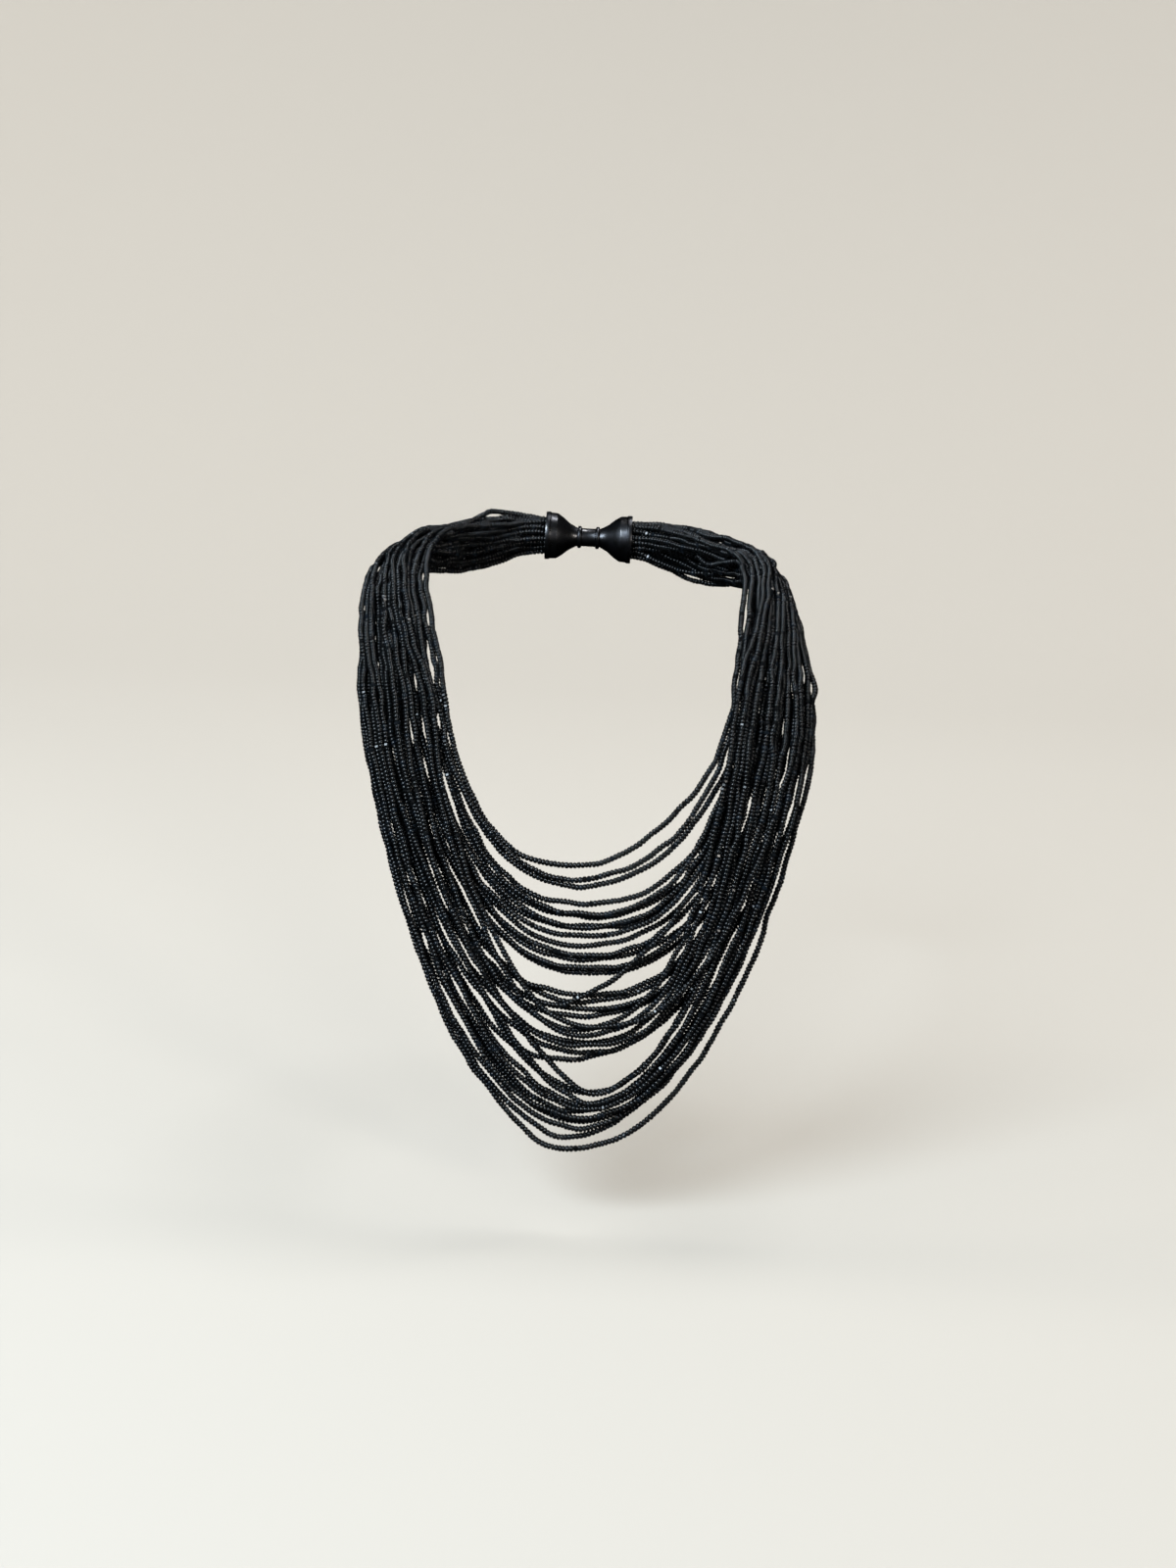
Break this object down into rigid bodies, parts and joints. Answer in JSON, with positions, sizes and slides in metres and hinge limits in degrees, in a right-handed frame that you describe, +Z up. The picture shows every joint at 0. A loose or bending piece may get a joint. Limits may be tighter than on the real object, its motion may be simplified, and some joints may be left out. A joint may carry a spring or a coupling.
{
  "type": "multi-strand seed bead bib necklace",
  "caption": "Bib necklace of many thin strings of black glass seed beads, hanging in graduated curves from one clasp at the nape.",
  "frame": {"origin": "on the axis of the wearer's neck, level with the clasp at the nape", "axes": "+Z up, -Y the way the wearer faces, +X to the wearer's left"},
  "size_m": [0.1844, 0.2069, 0.2133],
  "materials": {
    "black_glass": "opaque black glass beads with a soft gloss",
    "dark_metal": "plain darkened metal, satin"
  },
  "bodies": {
    "root": {"string_01": "black_glass", "string_02": "black_glass", "string_03": "black_glass", "string_04": "black_glass", "string_05": "black_glass", "string_06": "black_glass", "string_07": "black_glass", "string_08": "black_glass", "string_09": "black_glass", "string_10": "black_glass", "string_11": "black_glass", "string_12": "black_glass", "string_13": "black_glass", "string_14": "black_glass", "string_15": "black_glass", "string_16": "black_glass", "string_17": "black_glass", "string_18": "black_glass", "string_19": "black_glass", "string_20": "black_glass", "string_21": "black_glass", "string_22": "black_glass", "string_23": "black_glass", "string_24": "black_glass", "string_25": "black_glass", "string_26": "black_glass", "string_27": "black_glass", "string_28": "black_glass", "string_29": "black_glass", "string_30": "black_glass", "string_31": "black_glass", "string_32": "black_glass", "string_33": "black_glass", "string_34": "black_glass", "string_35": "black_glass", "string_36": "black_glass", "string_37": "black_glass", "clasp": "dark_metal"}
  },
  "joints": []
}
